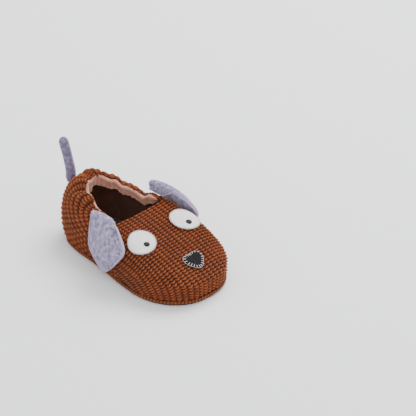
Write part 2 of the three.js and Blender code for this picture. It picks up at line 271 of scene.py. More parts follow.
def strips(columns, loop, wrap=False):
    """Quads between neighbouring closed loops of points."""
    last = columns if wrap else columns - 1
    c, k = np.meshgrid(np.arange(last), np.arange(loop), indexing="ij")
    d, m = (c + 1) % columns, (k + 1) % loop
    quads = np.stack([c * loop + k, d * loop + k, d * loop + m, c * loop + m], -1)
    return quads.reshape(-1, 4).tolist()


def capped(columns, loop):
    """Strips, and a face over the first and the last loop."""
    ends = [list(range(loop)), list(range((columns - 1) * loop, columns * loop))]
    return strips(columns, loop) + ends


def bridge(outer, outer_share, inner, inner_share):
    """Triangles between two rows of points that run the same way."""
    faces, i, j = [], 0, 0
    while i < len(outer) - 1 or j < len(inner) - 1:
        if j == len(inner) - 1 or (i < len(outer) - 1 and outer_share[i + 1] <= inner_share[j + 1]):
            faces.append((outer[i], outer[i + 1], inner[j]))
            i += 1
        else:
            faces.append((outer[i], inner[j + 1], inner[j]))
            j += 1
    return faces


def slab(outside, inside):
    """Points and faces of a closed wall between two grids that run the same way."""
    columns, outer, inner = len(outside), outside.shape[1], inside.shape[1]
    loop = outer + inner
    faces = strips(columns, loop)
    for base in (0, (columns - 1) * loop):
        near = [base + k for k in range(outer)]
        far = [base + loop - 1 - k for k in range(inner)]
        faces += bridge(near, np.linspace(0, 1, outer), far, np.linspace(0, 1, inner))
    return np.concatenate([outside, inside[:, ::-1]], axis=1).reshape(-1, 3), faces


def on_both(grid):
    """Values for a slab whose inside has the same values as its outside."""
    return np.concatenate([grid, grid[:, ::-1]], axis=1).reshape(-1, *grid.shape[2:])


def run_along(points):
    """Distance along a line of points, from 0 at the first."""
    return np.concatenate([[0], np.cumsum(np.linalg.norm(np.diff(points, axis=0), axis=1))])


def frames_along(points, up):
    """Unit tangents, sideways directions and upward directions along a line."""
    tangent = unit(np.gradient(points, axis=0))
    side = unit(np.cross(tangent, up))
    return tangent, side, np.cross(side, tangent)


def tube(points, radius, sides=8, up=(0, 0, 1), closed=False):
    """Rings round a line, with round ends unless it closes on itself: verts, faces, uv."""
    points = np.asarray(points, float)
    radii = np.broadcast_to(np.asarray(radius, float), len(points)).copy()
    if closed:
        tangent = unit(np.roll(points, -1, 0) - np.roll(points, 1, 0))
        side = unit(np.cross(tangent, up))
        lift = np.cross(side, tangent)
    else:
        ends = unit(np.array([points[0] - points[1], points[-1] - points[-2]]))
        reach = ends * radii[[0, -1], None] * 0.7
        points = np.vstack([points[0] + reach[0], points, points[-1] + reach[1]])
        radii = np.concatenate([[radii[0] * 0.5], radii, [radii[-1] * 0.5]])
        tangent, side, lift = frames_along(points, up)
    angle = TURN * np.arange(sides) / sides
    ring = np.cos(angle)[None, :, None] * side[:, None] + np.sin(angle)[None, :, None] * lift[:, None]
    verts = (points[:, None] + ring * radii[:, None, None]).reshape(-1, 3)
    uv = np.stack(np.broadcast_arrays(run_along(points)[:, None], angle[None] / TURN), -1)
    faces = strips(len(points), sides, True) if closed else capped(len(points), sides)
    return verts, faces, uv.reshape(-1, 2)


def gather(parts):
    """Joins meshes, each given as verts, faces and uv, into one."""
    verts, faces, uvs, start = [], [], [], 0
    for v, f, uv in parts:
        verts.append(v)
        uvs.append(uv)
        faces += [[i + start for i in face] for face in f]
        start += len(v)
    return np.vstack(verts), faces, np.vstack(uvs)


def finish_piece(piece, body, node):
    """Puts a piece on its body in place of a CAD node."""
    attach(piece, body)
    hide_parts(node)


def waves(seed, *coordinates, scale):
    """Smooth low-frequency unevenness between -1 and 1, the same each run."""
    draw = np.random.default_rng(seed)
    total = 0
    for _ in range(5):
        direction = draw.normal(size=len(coordinates))
        ripple = sum(d * c for d, c in zip(direction, coordinates)) / scale
        total = total + np.sin(ripple + draw.uniform(0, TURN))
    return total / 5


# ------------------------------------------------------------------ knit
STATION_STRIDE = 8.6                        # millimetres between stations at the heel
LUMP_PITCH = 1.45                           # stations between lumps of the gathered rim
KNIT_DROP, LINING_DROP = 2.2, 3.4           # how far a panel's foot reaches below the seam


def stitch_height(rib_place, course_place, border=0.24, valley=0.24):
    """Height from 0 in a hole to 1 on a loop: border is left between ribs, valley between courses."""
    lobe = border + (1 - border) * np.sqrt(np.clip(np.cos(math.pi * rib_place), 0, 1))
    phase = course_place - 0.8 * np.abs(rib_place)
    loop = (0.5 + 0.5 * np.cos(TURN * phase)) ** 0.8
    return lobe * (valley + (1 - valley) * loop)


def vamp_weave(station, run, knit):
    """Ribs run from the throat to the toe: rib place, course place, rib number."""
    rim = upper_point(station, 1.0)
    outward = upper_point(station, 0.55) - rim
    outward[..., 2] = 0
    outward = unit(outward)
    crowding = 1 + 0.6 * smoothstep(from_toe(station), 1.5, 5)
    across = rim[..., 0] + run * outward[..., 0] * crowding
    down = rim[..., 1] + run * outward[..., 1]
    rib = across / knit.rib_pitch + 0.5
    number = np.floor(rib)
    return rib - number - 0.5, down / knit.course_pitch, number


def heel_weave(station, run, knit):
    """Ribs follow the rim and the sole along each side and curl up to the rim beside the tail."""
    x = (HEEL - from_toe(station)) * STATION_STRIDE - knit.curl_reach
    y = run + knit.curl_rise
    radius = np.where(x > 0, y, np.hypot(x, y))
    angle = np.where(x > 0, 0, np.arctan2(-x, y))
    rib = radius / knit.rib_pitch
    number = np.floor(rib)
    course = np.where(x > 0, -x, angle * (number + 0.5) * knit.rib_pitch)
    return rib - number - 0.5, course / knit.course_pitch, number


def knit_panel(name, seams, weave, material, knit, columns, rows, pucker, **depths):
    """A thick knitted wall between two seams, with its loops as real relief and its rim rolled in."""
    roll_rows, inner_rows = 12, 14
    s = np.linspace(0, 1, columns)[:, None]
    even = np.linspace(0, 1, 41)
    middle = 0.0 if seams == VAMP_SEAMS else (SEAM + HEEL) / 2
    lengths = run_along(upper_point(middle, even))
    heights = np.interp(np.linspace(0, lengths[-1], rows), lengths, even)
    h = heights[None, :]
    beside = upper_point(seams[0] + 0.05, heights) - upper_point(seams[0] - 0.05, heights)
    setback = (SEAM_GAP / 2 / (np.linalg.norm(beside, axis=-1) / 0.1))[None, :]
    station = (seams[0] + setback) * (1 - s) + (seams[1] - setback) * s
    surface, normal = upper_point(station, h), upper_normal(station, h)
    segment = np.linalg.norm(np.diff(surface, axis=1), axis=-1)
    run = np.cumsum(segment[:, ::-1], axis=1)[:, ::-1]
    run = np.concatenate([run, np.zeros((columns, 1))], axis=1)
    # the rim rolls over in a half circle, and its run goes on past zero
    theta = np.linspace(0, math.pi, roll_rows + 2)[None, 1:-1]
    half = KNIT_THICKNESS / 2
    edge_station, edge_normal = station[:, -1:], normal[:, -1:]
    forward = roll_direction(edge_station)
    roll = surface[:, -1:] + edge_normal * (half * (np.cos(theta) - 1))[..., None]
    roll = roll + forward * (half * np.sin(theta))[..., None]
    roll_normal = edge_normal * np.cos(theta)[..., None] + forward * np.sin(theta)[..., None]
    points = np.concatenate([surface, roll], axis=1)
    normals = np.concatenate([normal, roll_normal], axis=1)
    stations = np.concatenate([station, np.repeat(edge_station, roll_rows, 1)], axis=1)
    full_heights = np.concatenate([np.repeat(h, columns, 0), np.ones((columns, roll_rows))], axis=1)
    runs = np.concatenate([run, np.repeat(-half * theta, columns, 0)], axis=1)
    place_3d = (points[..., 0], points[..., 1], points[..., 2])
    wobble = knit.unevenness * waves(3, *place_3d, scale=7.0)
    place, course, number = weave(stations, runs + wobble, knit)
    tension = 1 + 0.2 * waves(17, number * 2.3, course * 1.1, scale=1.0)
    relief = stitch_height(place, course, **depths) * tension
    end_fade = smoothstep(s, 0, 0.012) * smoothstep(1 - s, 0, 0.012)
    fade = np.ones_like(relief)
    fade[:, -roll_rows:] = np.linspace(1, 0.35, roll_rows)[None]
    lift = (relief - knit.sink) * knit.relief * fade * (0.35 + 0.65 * end_fade)
    lift = lift + 0.35 * waves(11, *place_3d, scale=9.0)
    points = points + normals * lift[..., None] + pucker(stations, full_heights, normals)
    inner_h = np.repeat(np.linspace(0.985, 0, inner_rows)[None], columns, 0)
    inner_station = np.repeat(edge_station, inner_rows, 1)
    inner = offset_upper(inner_station, inner_h, np.full(inner_h.shape, -KNIT_THICKNESS))
    inner = inner + pucker(inner_station, inner_h, upper_normal(inner_station, inner_h))
    inner[..., 2] -= KNIT_DROP * (1 - smoothstep(inner_h, 0, 0.1))
    verts, faces = slab(points, inner[:, ::-1])
    blank = np.zeros((columns, inner_rows))
    weave_u, weave_v = np.concatenate([number + place + 0.5, blank], 1), np.concatenate([course, blank], 1)
    uv = np.column_stack([weave_u.ravel(), weave_v.ravel()])
    # The loops' height, which the yarn's colour also uses to paint shade into the grooves and a highlight
    # onto the loops.
    groove = np.concatenate([relief, blank + 0.5], 1)
    return make_piece(name, material, verts, faces, uv, {"loop_height": groove.ravel()})


def rim_pucker(knit):
    """Lumps where the elastic gathers the heel's rim, with one deep dent on each side of the tail."""
    def dip(station, middle):
        return np.exp(-((station - HEEL - middle) / 0.36) ** 2)

    def pucker(station, height, normal):
        f = from_toe(station)
        fade = smoothstep(height, 0.55, 1.0) * smoothstep(f, SEAM, SEAM + 2.4)
        phase = station * TURN / LUMP_PITCH
        bumps = 0.6 * np.sin(phase) + 0.3 * np.sin(1.63 * phase + 1.3) + 0.3 * np.sin(0.57 * phase + 0.4)
        dent = dip(station, 1.55) + 0.7 * dip(station, -1.9)
        amount = knit.pucker * fade * (bumps - 1.5 * dent)
        return normal * (0.7 * amount)[..., None] + np.array(UP) * (0.75 * amount)[..., None]

    return pucker


def no_pucker(station, height, normal):
    """The vamp's rim isn't gathered."""
    return np.zeros(normal.shape)


def lining_panel(name, seams, material, pucker, columns=150, rows=44, top=0.97):
    """A thin fabric wall inside the knit."""
    s, h = np.meshgrid(np.linspace(0, 1, columns), np.linspace(0, top, rows), indexing="ij")
    station = seams[0] + SEAM_MARGIN + (seams[1] - seams[0] - 2 * SEAM_MARGIN) * s
    crease = 0.22 * waves(21, station * 6.0, h * 30.0, scale=3.0) * smoothstep(h, 0, 0.2) - 0.2
    outside = offset_upper(station, h, crease - LINING_OUTER - 0.2)
    inside = offset_upper(station, h, crease - LINING_INNER)
    move = pucker(station, h, upper_normal(station, h))
    move[..., 2] -= LINING_DROP * (1 - smoothstep(h, 0, 0.12))
    verts, faces = slab(outside + move, inside + move)
    return make_piece(name, material, verts, faces, on_both(np.stack([station * 12.0, h * 40.0], -1)))


# ------------------------------------------------------------------ gathered band and elastic
CASING_END = SEAM + 0.15                    # station where the band starts
ELASTIC_INSET, ELASTIC_RADIUS = 1.5, 0.7    # stations from the band's end, and millimetres


def casing_line(station, pucker):
    """The middle of the casing's channel, before and after it is gathered with the rim."""
    rim = np.ones_like(station)
    centre = offset_upper(station, rim, np.full(station.shape, -2.7)) + roll_direction(station) * 0.6
    return centre, centre + 0.9 * pucker(station, rim, upper_normal(station, rim))


def band_section(wall, bag, hem, sides):
    """Outline of the folded band, across and down: round at the elastic and flat below."""
    down = -bag + (bag + hem) * (0.5 - 0.5 * np.cos(np.linspace(0, math.pi, sides)))
    round_part = np.sqrt(np.clip(1 - (np.minimum(down, 0) / bag) ** 2, 0, 1)) * bag
    flat_part = 0.52 + (bag - 0.52) * np.exp(-(np.maximum(down, 0) / (1.1 * bag)) ** 2)
    half = np.where(down < 0, round_part, flat_part)
    half = half * np.sqrt(np.clip(1 - (np.maximum(down - hem + 0.6, 0) / 0.6) ** 2, 0.0, 1))
    half = np.maximum(half - wall, 0.03)
    down = np.clip(down, -bag + wall, hem - wall)
    return np.column_stack([np.concatenate([half, -half[::-1]]), np.concatenate([down, down[::-1]])])


def gathered_band(name, material, sizes, pucker):
    """The jersey folded over the elastic and pleated: an outer and an inner skin, joined at both ends."""
    columns, sides = 520, 22
    station = np.linspace(CASING_END, ROUND - CASING_END, columns)
    even_centre, centre = casing_line(station, pucker)
    inward = -unit(np.cross(frames_along(even_centre, UP)[0], UP))
    to_middle = np.array([0, 12.0, 0]) - centre
    to_middle[:, 2] = 0
    inward = inward * np.sign(np.sum(inward * to_middle, axis=1))[:, None]
    down = unit(np.array([0, 0, -1.0]) - 0.12 * inward)
    back = smoothstep(from_toe(station), 8.5, 11)[:, None]
    taper = smoothstep(np.minimum(station, ROUND - station), CASING_END - 0.3, CASING_END + 0.8)[:, None]
    length = run_along(centre)
    pleat = np.sin(TURN * length / 2.9 + 1.1 * np.sin(length / 5.1)) + 0.6 * np.sin(TURN * length / 4.7 + 2)
    notch = 1.12 * np.exp(-((station - HEEL - 0.2) / 0.16) ** 2)[:, None]
    skins = []
    for wall in (0.0, sizes.band_wall):
        across, drop = band_section(wall, sizes.band_bag, sizes.band_hem, sides).T
        depth = drop * (1 + 0.45 * back * (drop > 0)) * taper
        fold = 0.2 * pleat[:, None] * (0.25 + smoothstep(depth, -1.0, 5.0))
        out = across * taper + fold + notch * smoothstep(depth, 0, 5)
        skins.append(centre[:, None] + inward[:, None] * out[..., None] + down[:, None] * depth[..., None])
    loop = 2 * sides
    shift = columns * loop
    skin = strips(columns, loop)
    faces = skin + [[i + shift for i in reversed(face)] for face in skin]
    for base in (0, shift - loop):
        for k in range(loop):
            m = (k + 1) % loop
            quad = [base + k, base + m, base + m + shift, base + k + shift]
            faces.append(quad if base == 0 else quad[::-1])
    uv = np.stack(np.broadcast_arrays(length[:, None], np.linspace(0, 20, loop)[None]), -1).reshape(-1, 2)
    return make_piece(name, material, np.vstack(skins).reshape(-1, 3), faces, np.vstack([uv, uv]))


# ------------------------------------------------------------------ sole
SOLE_INSETS = (1.1, 0.5)


def sole_outline(count, inset=0.0):
    """Outline of the sole, moved inwards by inset."""
    place = np.linspace(0, ROUND, count, endpoint=False)
    points = spline(SOLE_RING, place, True)
    ahead = spline(SOLE_RING, (place + 0.01) % ROUND, True)
    behind = spline(SOLE_RING, (place - 0.01) % ROUND, True)
    tangent = unit(ahead - behind)
    return points + inset * np.column_stack([-tangent[:, 1], tangent[:, 0], np.zeros(count)])


def outline_run(points):
    """Distance along a closed outline, all the way back to its first point."""
    return run_along(np.vstack([points, points[:1]]))


def lens_rings(shares):
    """Rings over the top of a flat piece and back under it: 1 or -1, and the share of its radius."""
    return [(1, share) for share in shares] + [(-1, share) for share in shares[::-1]]


def pad(name, material, inset, bottom, top, crown, rounding, count=180, rings=26):
    """A cushion with the sole's outline, its edge rounded and its top crowned."""
    outline = sole_outline(count, inset)
    spine = outline * np.array([0, 0.62, 0])
    half, middle = (top - bottom) / 2, (top + bottom) / 2
    loops = []
    for side, share in lens_rings(np.sin(np.linspace(0, math.pi / 2, rings))):
        edge = np.sqrt(np.clip(1 - share ** (8 / rounding), 0, 1))
        ring = spine + (outline - spine) * max(share, 0.02)
        ring[:, 2] = middle + side * half * edge + (crown * (1 - share ** 2) if side == 1 else 0)
        loops.append(ring)
    verts = np.vstack(loops)
    return make_piece(name, material, verts, capped(len(loops), count), verts[:, :2])


def knit_rim(name, material, knit):
    """The knitted band round the edge of the sole: a plump edge of loops round a flat inner part."""
    columns, outer_rows = 1100, 22
    outline = sole_outline(columns)
    run = outline_run(outline)
    course = (run[:-1] / run[-1] * round(run[-1] / knit.course_pitch))[:, None]
    inward = unit(sole_outline(columns, 1.0) - outline)
    bottom, top = RIM_LOW[2], RIM_HIGH[2]
    half, middle = (top - bottom) / 2, (top + bottom) / 2
    angle = np.linspace(-math.pi / 2, math.pi / 2, outer_rows)[None]
    relief = stitch_height(angle / math.pi, course)
    out = 0.25 + (0.55 + (relief - 0.5) * 0.7) * np.cos(angle)
    loop = outline[:, None] - inward[:, None] * out[..., None]
    loop[..., 2] = middle + half * np.sin(angle) * (1 + 0.04 * np.cos(course * TURN))
    upper = outline + inward * 2.4
    lower = upper.copy()
    upper[:, 2], lower[:, 2] = top + 0.25, bottom + 0.1
    loop = np.concatenate([loop, upper[:, None], lower[:, None]], axis=1)
    rows = loop.shape[1]
    uv = np.stack(np.broadcast_arrays(np.arange(rows)[None] / rows, course), -1).reshape(-1, 2)
    # The loops' height, which also paints shade into the yarn's grooves and a highlight onto its loops; the
    # flat inner rows get a fixed middle value.
    groove = np.concatenate([relief, np.full((columns, 2), 0.4)], axis=1).ravel()
    faces = strips(columns, rows, True)
    return make_piece(name, material, loop.reshape(-1, 3), faces, uv, {"loop_height": groove})


def deselect():
    """Leaves no object selected."""
    for chosen in list(bpy.context.selected_objects):
        chosen.select_set(False)


def suede_sole(name, material, sizes):
    """Suede cut to the sole's outline: a disc extruded to its thickness, its edges bevelled."""
    deselect()
    count = 160
    bpy.ops.mesh.primitive_circle_add(vertices=count, radius=SOLE_WIDTH / 2 * MM, fill_type="NGON",
                                      location=(0, 0, 0))
    piece = bpy.context.object
    piece.name = piece.data.name = name
    outline = sole_outline(count, 0.15)
    for vertex, point in zip(piece.data.vertices, outline):
        vertex.co = Vector((point[0] * MM, point[1] * MM, 0))
    bpy.ops.object.mode_set(mode="EDIT")
    bpy.ops.mesh.select_all(action="SELECT")
    for width in SOLE_INSETS:
        bpy.ops.mesh.inset(thickness=width * MM, depth=0)
    bpy.ops.mesh.select_all(action="SELECT")
    height = SOLE_HIGH[2] - SOLE_LOW[2]
    bpy.ops.mesh.extrude_region_move(TRANSFORM_OT_translate={"value": (0, 0, height * MM)})
    bpy.ops.mesh.select_all(action="SELECT")
    bpy.ops.mesh.normals_make_consistent(inside=False)
    bpy.ops.mesh.select_all(action="DESELECT")
    bpy.ops.object.mode_set(mode="OBJECT")
    edge_z = {0.0, round(height * MM, 6)}
    for edge in piece.data.edges:
        ends = [piece.data.vertices[i].co for i in edge.vertices]
        flat = all(round(end.z, 6) in edge_z for end in ends) and abs(ends[0].z - ends[1].z) < 1e-7
        near_edge = all(min_edge_distance(end, outline) < 0.05 for end in ends)
        edge.select = bool(flat and near_edge)
    bpy.ops.object.mode_set(mode="EDIT")
    bpy.ops.mesh.bevel(offset=sizes.sole_edge * MM, segments=3, affect="EDGES")
    bpy.ops.object.mode_set(mode="OBJECT")
    piece.data.materials.append(material)
    bpy.ops.object.shade_smooth_by_angle(angle=math.radians(50))
    return piece


def min_edge_distance(point, outline):
    """Millimetres between a point in metres and the nearest point of an outline."""
    gap = outline[:, :2] * MM - np.array([point.x, point.y])
    return float(np.min(np.hypot(gap[:, 0], gap[:, 1])) / MM)


# ------------------------------------------------------------------ felt face
PATCH_LIFT, PATCH_THICKNESS = 0.6, 1.0      # of the felt over the knit's mean surface
PATCH_TOP = PATCH_LIFT + PATCH_THICKNESS
EYE_RADIUS, EYE_DRAWN = 8.45, 0.05
EYE_X, EYE_Y = SOLE_WIDTH / 2 - 11.8, RIM_RING[0, 1] - 18.7
PUPIL_RADIUS, PUPIL_INWARD, PUPIL_FORWARD = 1.65, 0.2, 3.3
NOSE_Y = 12.75 - SOLE_LENGTH / 2
NOSE_CUT = (12.8, 10.8)                     # width and length of the nose's felt


def round_patch(radius, drawn=0.0, towards=0.0):
    """A circle, drawn out by a share of its radius towards an angle and away from it."""
    return lambda angle: radius * (1 + drawn * np.cos(2 * (np.asarray(angle) - towards)))


def nose_radius(angle):
    """A wide ellipse pulled towards a triangle that points to the toe."""
    triangle = 1 + 0.11 * np.cos(3 * (angle + math.pi / 2))
    return np.hypot(np.cos(angle) * NOSE_CUT[0] / 2, np.sin(angle) * NOSE_CUT[1] / 2) * triangle


def felt_disc(radius_at, place, bottom, thickness, dome, rings=26, around=132, seed=5):
    """A felt patch with a soft rounded edge, wrapped onto the vamp."""
    angle = TURN * np.arange(around) / around
    radius = radius_at(angle)
    loops = []
    for side, share in lens_rings(np.sin(np.linspace(0.03, math.pi / 2, rings))):
        edge = math.sqrt(max(0.0, 1 - share ** 14))
        x, y = np.cos(angle) * radius * share, np.sin(angle) * radius * share
        z = np.full(around, bottom + thickness * (0.5 + 0.5 * side * edge))
        if side == 1:
            ripple = 0.10 * waves(seed, x, y, scale=2.6) + 0.05 * waves(seed + 1, x, y, scale=0.7)
            z = z + dome * (1 - share ** 2) + ripple * edge
        loops.append(np.column_stack([x, y, z]))
    flat = np.vstack(loops)
    return place(flat), capped(len(loops), around), flat[:, :2]


def edge_stitches(radius_at, place, count, inner, outer, drop, radius=0.15):
    """Short stitches from the top of a felt patch over its edge."""
    angle = TURN * (np.arange(count) + 0.5)[:, None] / count
    reach = radius_at(angle) + np.array([-inner, -0.4 * inner, 0.5 * outer, outer])
    level = PATCH_TOP + np.array([-0.05, 0.9 * radius, -0.05, -drop]) + 0 * angle
    lines = place(np.stack([np.cos(angle) * reach, np.sin(angle) * reach, level], -1).reshape(-1, 3))
    return [tube(line, radius, 6, up=(0.3, 0.2, 1)) for line in lines.reshape(count, 4, 3)]


def edge_thread(radius_at, place, height, radius, outset, count=150):
    """The thread that runs round a felt patch and joins its stitches."""
    angle = TURN * np.arange(count) / count
    reach = radius_at(angle) + outset
    line = place(np.column_stack([np.cos(angle) * reach, np.sin(angle) * reach, np.full(count, height)]))
    return tube(line, radius, 6, closed=True)


def satin_dot(place, bottom, radius, threads=11, points=9):
    """A dot of satin stitch: threads side by side over a small dome."""
    t = np.linspace(-1, 1, points)
    parts = []
    for i in range(threads):
        x = radius * (-1 + 2 * (i + 0.5) / threads)
        reach = math.sqrt(max(radius ** 2 - x ** 2, 0.02)) * (1 + 0.06 * math.sin(5.0 * i))
        dome = 0.5 * np.sqrt(np.clip(1 - (x / radius) ** 2 * 0.7 - 0.3 * t ** 2, 0.05, 1))
        dome = dome * np.clip(1.15 - t ** 6, 0.05, 1)
        line = np.column_stack([x + 0.03 * np.sin(3 * t + i), reach * t, bottom + dome])
        parts.append(tube(place(line), 0.21, 8))
    parts.append(felt_disc(round_patch(radius * 0.93), place, bottom - 0.05, 0.45, 0.1, 10, 40))
    return gather(parts)


# ------------------------------------------------------------------ ears
EAR_STATION, EAR_ROOT = 5.8, (1.0, 0.4, 1.4)
EAR_PATH = np.array([
    [0, 0, 0], [2.6, -1.6, 2.5], [6.0, -6.6, -0.8],
    [8.6, -10.2, -7.8], [10.2, -9.2, -16.4], [9.8, -8.6, -27.0],
])
EAR_HALF_WIDTHS = np.array([[7.6], [9.6], [12.4], [14.6], [13.6], [9.6]])


def ear_surface(along, across, depth):
    """A point of the left ear: along from its sewn edge to its tip, across -1 at the toe side to 1."""
    root = spline(RIM_RING, np.array(EAR_STATION), True) + np.array(EAR_ROOT)
    place = np.clip(along, -0.1, 1) * (len(EAR_PATH) - 1)
    middle = root + spline(EAR_PATH, place)
    ahead = spline(EAR_PATH, np.minimum(place + 0.01, len(EAR_PATH) - 1))
    tangent = unit(ahead - spline(EAR_PATH, place - 0.01))
    outward = -unit(np.cross(np.array([0, 1.0, 0]), tangent))
    half_width = spline(EAR_HALF_WIDTHS, place)[..., 0]
    point = middle + outward * depth[..., None]
    point[..., 1] = middle[..., 1] + across * half_width
    return point


def ear_tip_share(along, sizes):
    """Share of its width that an ear keeps as its tip rounds off."""
    past = np.maximum(along - sizes.ear_tip, 0) / (1.004 - sizes.ear_tip)
    return np.sqrt(np.clip(1 - past ** 2, 0, 1))


def ear_shell(name, side, material, outside, inside, **layers):
    """A closed shell between two grids of the left ear, or mirrored for the right one."""
    verts, faces = slab(outside, inside)
    if side == "right":
        verts = verts * np.array([-1, 1, 1])
    return make_piece(name, material, verts, faces, **layers)


def ear_panel(name, side, outward, material, sizes):
    """One velour panel of a padded ear, meeting its twin along the seam round the ear."""
    start, puff = (-0.005, 1.0) if outward > 0 else (-0.055, 0.62)
    v, u = np.meshgrid(np.linspace(start, 1, 74), np.linspace(-1, 1, 64), indexing="ij")
    across = np.sin(u * math.pi / 2)
    tip = ear_tip_share(v, sizes)
    width = across * (tip * (0.82 + 0.18 * smoothstep(v, 0, 0.10)))
    swell = np.sqrt(np.clip(np.sin(math.pi * np.clip(0.12 + 0.86 * v, 0, 1)), 0, 1))
    plump = np.cos(u * math.pi / 2) ** 0.85 * swell * tip ** 0.6
    dents = 1 + 0.42 * waves(31 + (outward > 0), v * 9.0, across * 4.0, scale=1.6)
    seam_dip = 1 - 0.35 * np.exp(-((np.abs(across) - 0.86) / 0.06) ** 2)
    sewn = 0.3 + 0.7 * smoothstep(v, 0, 0.24)
    thick = 0.3 + 0.12 * sewn + sizes.ear_puff * plump * sewn * dents * seam_dip * puff
    outside = ear_surface(v, width, outward * thick)
    inside = ear_surface(v, width * 0.985, outward * np.maximum(thick - 0.8, 0.04))
    seam = ear_surface(v, width, np.full(v.shape, outward * 0.03))
    outside[:, [0, -1]] = seam[:, [0, -1]]
    # Mask of the painted highlight along the ear's sewn edges and its tip.
    near_edge = 1 - np.clip(np.minimum(1 - np.abs(across), (1 - v) * 1.2) / 0.10, 0, 1)
    return ear_shell(name, side, material, outside, inside, uv=on_both(np.stack([v * 40, across * 15], -1)),
                     values={"seam": on_both(near_edge)})


def ear_filling(name, side, material, sizes):
    """The wadding between an ear's panels."""
    v, u = np.meshgrid(np.linspace(0.07, 0.93, 40), np.linspace(-1, 1, 32), indexing="ij")
    across = np.sin(u * math.pi / 2) * 0.84 * ear_tip_share(v, sizes)
    swell = smoothstep(v, 0, 0.3) * np.sqrt(np.clip(np.sin(math.pi * v), 0, 1))
    thick = 0.1 + 0.3 * np.cos(u * math.pi / 2) * swell * sizes.ear_puff
    front, back = ear_surface(v, across, thick), ear_surface(v, across, -0.6 * thick)
    return ear_shell(name, side, material, front, back)


# ------------------------------------------------------------------ tail
TAIL_HEIGHT, TAIL_SEAT = 0.467, 3.3         # height on the heel, and distance behind it
TAIL_RADIUS, STUFFING_RADIUS = 2.95, 1.9
TAIL_SEAM = math.radians(-108)
TAIL_PATH = np.array([[0, 0, 0], [0, 0.4, 7.6], [0, 3.0, 17.0], [0, 6.9, 26.8]])


def tail_line(share):
    """The tail's middle, from its root at 0 to its tip at 1."""
    root = upper_point(np.array(float(HEEL)), np.array(TAIL_HEIGHT)) + np.array([0, TAIL_SEAT, 0])
    return root + spline(TAIL_PATH, share * (len(TAIL_PATH) - 1))


def tail_tube(name, material, radius, start, end, seam_depth, rings=150, sides=72):
    """A soft tube round the tail's middle, with a seam along it and a round tip."""
    line = tail_line(np.linspace(start, end, rings))
    tangent = unit(np.gradient(line, axis=0))
    side = np.broadcast_to(np.array([1.0, 0, 0]), line.shape)
    behind = unit(np.cross(side, tangent))
    angle = TURN * np.arange(sides)[None] / sides
    way = np.linspace(0, 1, rings)[:, None]
    length = run_along(line)[-1]
    tip = np.sqrt(np.clip(1 - (np.maximum(radius - (1 - way) * length, 0) / radius) ** 2, 0.002, 1))
    girth = radius * (1.03 - 0.07 * way) * tip * (0.8 + 0.2 * smoothstep(way, 0, 0.12))
    turn_gap = np.abs((angle - TAIL_SEAM + math.pi) % TURN - math.pi)
    seam = np.exp(-(turn_gap / 0.13) ** 2)
    lumps = 1 + 0.035 * waves(41, way * 9, np.cos(angle) * 1.4, np.sin(angle) * 1.4, scale=1.0)
    reach = girth * lumps * (1 - seam_depth * seam)
    ring = np.cos(angle)[..., None] * side[:, None] - np.sin(angle)[..., None] * behind[:, None]
    verts = (line[:, None] + ring * reach[..., None]).reshape(-1, 3)
    uv = np.stack(np.broadcast_arrays(way * length, angle * radius), -1).reshape(-1, 2)
    # Mask of the painted highlight along the tail's seam.
    mask = np.repeat(0.6 * seam, rings, 0).ravel()
    return make_piece(name, material, verts, capped(rings, sides), uv, {"seam": mask})


# ------------------------------------------------------------------ materials
def linear(colour):
    """Linear colour from eight-bit display values."""
    c = np.array(colour, float) / 255
    value = np.where(c <= 0.04045, c / 12.92, ((c + 0.055) / 1.055) ** 2.4)
    return (*value, 1.0)


def set_inputs(tree, node, inputs):
    """Links each input that is given a socket, and sets the others."""
    for key, value in inputs.items():
        if isinstance(value, bpy.types.NodeSocket):
            tree.links.new(value, node.inputs[key])
        else:
            node.inputs[key].default_value = value
    return node


def add_node(tree, kind, inputs=None, **settings):
    """A new node with its settings made and its inputs filled."""
    node = tree.nodes.new(kind)
    for key, value in settings.items():
        setattr(node, key, value)
    return set_inputs(tree, node, inputs or {})


def maths(tree, operation, a, b=0.0):
    """One sum on one or two values."""
    return add_node(tree, "ShaderNodeMath", {0: a, 1: b}, operation=operation).outputs[0]


def mix_colour(tree, factor, a, b):
    """Colour a where the factor is 0, and b where it is 1."""
    return add_node(tree, "ShaderNodeMix", {0: factor, 6: a, 7: b}, data_type="RGBA").outputs[2]


def noise(tree, vector, scale, detail=3.0, roughness=0.6):
    """Fractal noise, mostly between 0.3 and 0.7."""
    inputs = {"Vector": vector, "Scale": scale, "Detail": detail, "Roughness": roughness}
    return add_node(tree, "ShaderNodeTexNoise", inputs).outputs["Fac"]


def ramp(tree, value, low, high):
    """0 at low and 1 at high."""
    inputs = {"Value": value, "From Min": low, "From Max": high}
    return add_node(tree, "ShaderNodeMapRange", inputs).outputs["Result"]


def new_group(name, inputs, outputs):
    """A node group, its first input a vector and all else values, with the sockets of its two ends."""
    group = bpy.data.node_groups.new(name, "ShaderNodeTree")
    for place, label in enumerate(inputs):
        kind = "NodeSocketFloat" if place else "NodeSocketVector"
        group.interface.new_socket(label, in_out="INPUT", socket_type=kind)
    for label in outputs:
        group.interface.new_socket(label, in_out="OUTPUT", socket_type="NodeSocketFloat")
    return group, group.nodes.new("NodeGroupInput").outputs, group.nodes.new("NodeGroupOutput")


